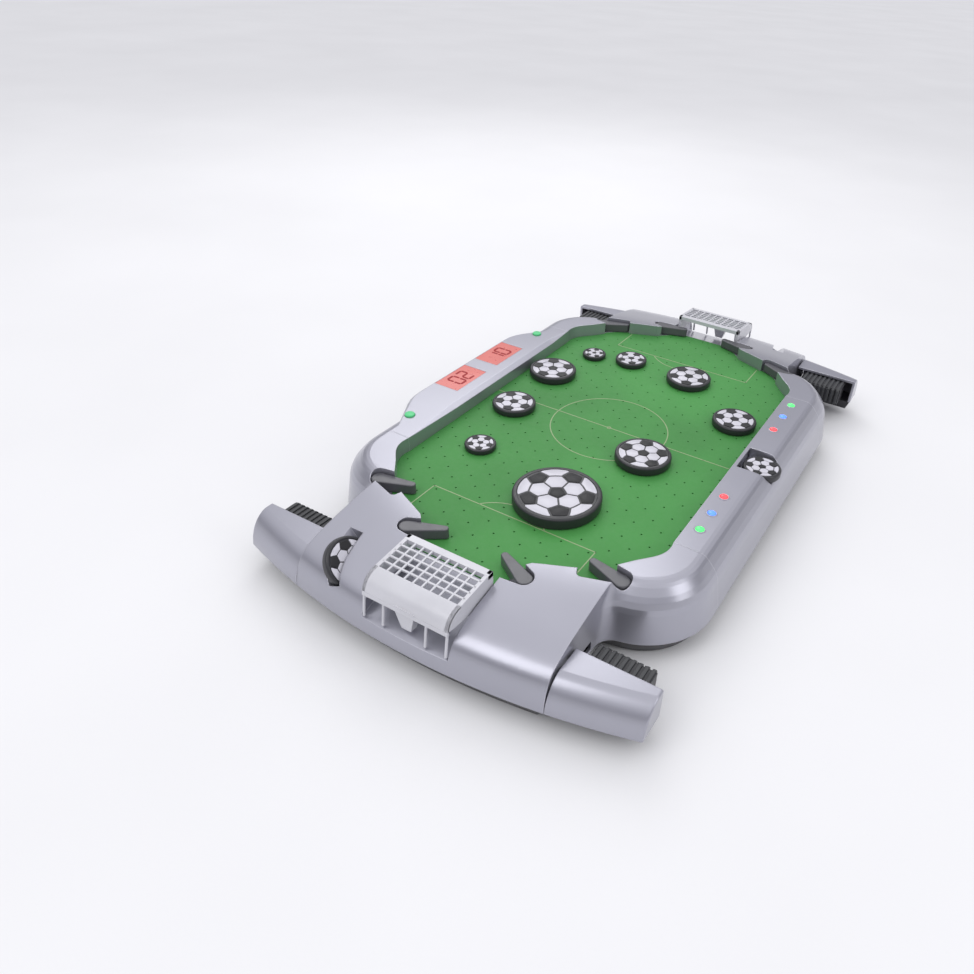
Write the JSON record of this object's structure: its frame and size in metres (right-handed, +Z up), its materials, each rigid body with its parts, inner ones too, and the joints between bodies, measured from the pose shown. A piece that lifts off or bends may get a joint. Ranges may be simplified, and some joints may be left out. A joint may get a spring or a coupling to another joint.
{
  "type": "tabletop air soccer game",
  "caption": "Tabletop air soccer game: perforated board, blower, trigger-driven flippers at both ends, net goals, score windows and pucks.",
  "frame": {"origin": "on the table under the centre of the field", "axes": "+X across the field to the lamp rail, +Y along the field away from the near player, +Z up"},
  "size_m": [0.33, 0.571, 0.066],
  "materials": {
    "silver_shell": "satin metallic silver",
    "green_board": "printed, semi-matt",
    "black_plastic": "fine grain",
    "screw_steel": "zinc plated",
    "white_plastic": "plain",
    "motor_steel": "plated can",
    "battery": "plain wrap",
    "circuit_board": "solder mask",
    "rubber": "matt",
    "goal_grey": "satin",
    "red_window": "tinted",
    "clear_lens": "clear",
    "green_button": "satin",
    "spring_steel": "bright",
    "flipper_black": "satin",
    "puck_black": "satin"
  },
  "bodies": {
    "housing": {"near_end_cover": "silver_shell", "far_end_cover": "silver_shell", "right_rail": "silver_shell", "left_rail": "silver_shell", "playfield_board": "green_board", "air_plenum": "black_plastic", "base_tray": "black_plastic", "housing_screws": "screw_steel", "blower_case": "black_plastic", "blower_motor": "motor_steel", "battery_box": "black_plastic", "battery_cells": "battery", "main_board": "circuit_board", "speaker": "black_plastic", "rubber_feet": "rubber", "near_goal": "goal_grey", "far_goal": "goal_grey", "score_windows": "red_window", "score_displays": "black_plastic", "lamp_lenses": "clear_lens", "power_switch": "black_plastic", "grip_bases": "black_plastic", "near_left_grip": "silver_shell", "near_left_trigger_spring": "spring_steel", "near_right_grip": "silver_shell", "near_right_trigger_spring": "spring_steel", "far_left_grip": "silver_shell", "far_left_trigger_spring": "spring_steel", "far_right_grip": "silver_shell", "far_right_trigger_spring": "spring_steel"},
    "impeller": {"blower_impeller": "white_plastic"},
    "door": {"battery_door": "black_plastic"},
    "switch": {"switch_slider": "black_plastic"},
    "near_button": {"near_start_button": "green_button"},
    "far_button": {"far_start_button": "green_button"},
    "near_left_trigger": {"near_left_trigger": "black_plastic"},
    "flipper_near_left_inner": {"flipper_near_left_inner": "flipper_black"},
    "flipper_near_left_outer": {"flipper_near_left_outer": "flipper_black"},
    "near_right_trigger": {"near_right_trigger": "black_plastic"},
    "flipper_near_right_inner": {"flipper_near_right_inner": "flipper_black"},
    "flipper_near_right_outer": {"flipper_near_right_outer": "flipper_black"},
    "far_left_trigger": {"far_left_trigger": "black_plastic"},
    "flipper_far_left_inner": {"flipper_far_left_inner": "flipper_black"},
    "flipper_far_left_outer": {"flipper_far_left_outer": "flipper_black"},
    "far_right_trigger": {"far_right_trigger": "black_plastic"},
    "flipper_far_right_inner": {"flipper_far_right_inner": "flipper_black"},
    "flipper_far_right_outer": {"flipper_far_right_outer": "flipper_black"},
    "puck_1": {"puck_1": "puck_black"},
    "puck_2": {"puck_2": "puck_black"},
    "puck_3": {"puck_3": "puck_black"},
    "puck_4": {"puck_4": "puck_black"},
    "puck_5": {"puck_5": "puck_black"},
    "puck_6": {"puck_6": "puck_black"},
    "puck_7": {"puck_7": "puck_black"},
    "puck_8": {"puck_8": "puck_black"},
    "puck_9": {"puck_9": "puck_black"},
    "pocket_puck": {"pocket_puck": "puck_black"},
    "slot_puck": {"slot_puck": "puck_black"}
  },
  "joints": [
    {"name": "impeller_spin", "type": "hinge", "parent": "housing", "child": "impeller", "pos_m": [0, 0, 0.027], "axis": [0, 0, 1], "continuous": true},
    {"name": "battery_door_slide", "type": "slide", "parent": "housing", "child": "door", "axis": [0, -1, 0], "range_m": [0, 0.112]},
    {"name": "power_switch_slide", "type": "slide", "parent": "housing", "child": "switch", "axis": [0, 1, 0], "range_m": [0, 0.004]},
    {"name": "near_button_press", "type": "slide", "parent": "housing", "child": "near_button", "axis": [0, 0, -1], "range_m": [0, 0.0015], "stiffness_N_per_m": 400, "springref_m": -0.001},
    {"name": "far_button_press", "type": "slide", "parent": "housing", "child": "far_button", "axis": [0, 0, -1], "range_m": [0, 0.0015], "stiffness_N_per_m": 400, "springref_m": -0.001},
    {"name": "near_left_squeeze", "type": "slide", "parent": "housing", "child": "near_left_trigger", "axis": [0, -1, 0], "range_m": [-0.006, 0], "stiffness_N_per_m": 250, "springref_m": -0.01, "deforming": ["near_left_trigger_spring"]},
    {"name": "flipper_near_left_inner_swing", "type": "hinge", "parent": "housing", "child": "flipper_near_left_inner", "pos_m": [-0.05, -0.216, 0], "axis": [0, 0, 1], "range_deg": [-40.02, 0]},
    {"name": "flipper_near_left_outer_swing", "type": "hinge", "parent": "housing", "child": "flipper_near_left_outer", "pos_m": [-0.106, -0.182, 0], "axis": [0, 0, 1], "range_deg": [-40.02, 0]},
    {"name": "near_right_squeeze", "type": "slide", "parent": "housing", "child": "near_right_trigger", "axis": [0, -1, 0], "range_m": [-0.006, 0], "stiffness_N_per_m": 250, "springref_m": -0.01, "deforming": ["near_right_trigger_spring"]},
    {"name": "flipper_near_right_inner_swing", "type": "hinge", "parent": "housing", "child": "flipper_near_right_inner", "pos_m": [0.05, -0.216, 0], "axis": [0, 0, 1], "range_deg": [0, 40.02]},
    {"name": "flipper_near_right_outer_swing", "type": "hinge", "parent": "housing", "child": "flipper_near_right_outer", "pos_m": [0.106, -0.182, 0], "axis": [0, 0, 1], "range_deg": [0, 40.02]},
    {"name": "far_left_squeeze", "type": "slide", "parent": "housing", "child": "far_left_trigger", "axis": [0, 1, 0], "range_m": [0, 0.006], "stiffness_N_per_m": 250, "springref_m": -0.004, "deforming": ["far_left_trigger_spring"]},
    {"name": "flipper_far_left_inner_swing", "type": "hinge", "parent": "housing", "child": "flipper_far_left_inner", "pos_m": [-0.05, 0.216, 0], "axis": [0, 0, 1], "range_deg": [-40.02, 0]},
    {"name": "flipper_far_left_outer_swing", "type": "hinge", "parent": "housing", "child": "flipper_far_left_outer", "pos_m": [-0.106, 0.182, 0], "axis": [0, 0, 1], "range_deg": [-40.02, 0]},
    {"name": "far_right_squeeze", "type": "slide", "parent": "housing", "child": "far_right_trigger", "axis": [0, 1, 0], "range_m": [0, 0.006], "stiffness_N_per_m": 250, "springref_m": -0.004, "deforming": ["far_right_trigger_spring"]},
    {"name": "flipper_far_right_inner_swing", "type": "hinge", "parent": "housing", "child": "flipper_far_right_inner", "pos_m": [0.05, 0.216, 0], "axis": [0, 0, 1], "range_deg": [0, 40.02]},
    {"name": "flipper_far_right_outer_swing", "type": "hinge", "parent": "housing", "child": "flipper_far_right_outer", "pos_m": [0.106, 0.182, 0], "axis": [0, 0, 1], "range_deg": [0, 40.02]},
    {"name": "puck_1_glide", "type": "slide", "parent": "housing", "child": "puck_1", "axis": [-0.3818, -0.9243, 0], "range_m": [0, 0.03]},
    {"name": "puck_2_glide", "type": "slide", "parent": "housing", "child": "puck_2", "axis": [-0.3011, -0.9536, 0], "range_m": [0, 0.03]},
    {"name": "puck_3_glide", "type": "slide", "parent": "housing", "child": "puck_3", "axis": [0.4512, -0.8924, 0], "range_m": [0, 0.012]},
    {"name": "puck_4_glide", "type": "slide", "parent": "housing", "child": "puck_4", "axis": [1, 0, 0], "range_m": [0, 0.03]},
    {"name": "puck_5_glide", "type": "slide", "parent": "housing", "child": "puck_5", "axis": [1, 0, 0], "range_m": [0, 0.02]},
    {"name": "puck_6_glide", "type": "slide", "parent": "housing", "child": "puck_6", "axis": [0.8, -0.6, 0], "range_m": [0, 0.02]},
    {"name": "puck_7_glide", "type": "slide", "parent": "housing", "child": "puck_7", "axis": [0, 1, 0], "range_m": [0, 0.02]},
    {"name": "puck_8_glide", "type": "slide", "parent": "housing", "child": "puck_8", "axis": [0, 1, 0], "range_m": [0, 0.025]},
    {"name": "puck_9_glide", "type": "slide", "parent": "housing", "child": "puck_9", "axis": [0, 1, 0], "range_m": [0, 0.03]},
    {"name": "pocket_puck_lift", "type": "slide", "parent": "housing", "child": "pocket_puck", "axis": [0, 0, 1], "range_m": [0, 0.02]},
    {"name": "slot_puck_draw", "type": "slide", "parent": "housing", "child": "slot_puck", "axis": [-0.6428, 0, 0.766], "range_m": [0, 0.03]}
  ],
  "couplings": [
    {"joint": "flipper_near_left_inner_swing", "follows": "near_left_squeeze", "rad_per_m": 116.35},
    {"joint": "flipper_near_left_outer_swing", "follows": "near_left_squeeze", "rad_per_m": 116.35},
    {"joint": "flipper_near_right_inner_swing", "follows": "near_right_squeeze", "rad_per_m": -116.35},
    {"joint": "flipper_near_right_outer_swing", "follows": "near_right_squeeze", "rad_per_m": -116.35},
    {"joint": "flipper_far_left_inner_swing", "follows": "far_left_squeeze", "rad_per_m": -116.35},
    {"joint": "flipper_far_left_outer_swing", "follows": "far_left_squeeze", "rad_per_m": -116.35},
    {"joint": "flipper_far_right_inner_swing", "follows": "far_right_squeeze", "rad_per_m": 116.35},
    {"joint": "flipper_far_right_outer_swing", "follows": "far_right_squeeze", "rad_per_m": 116.35}
  ]
}
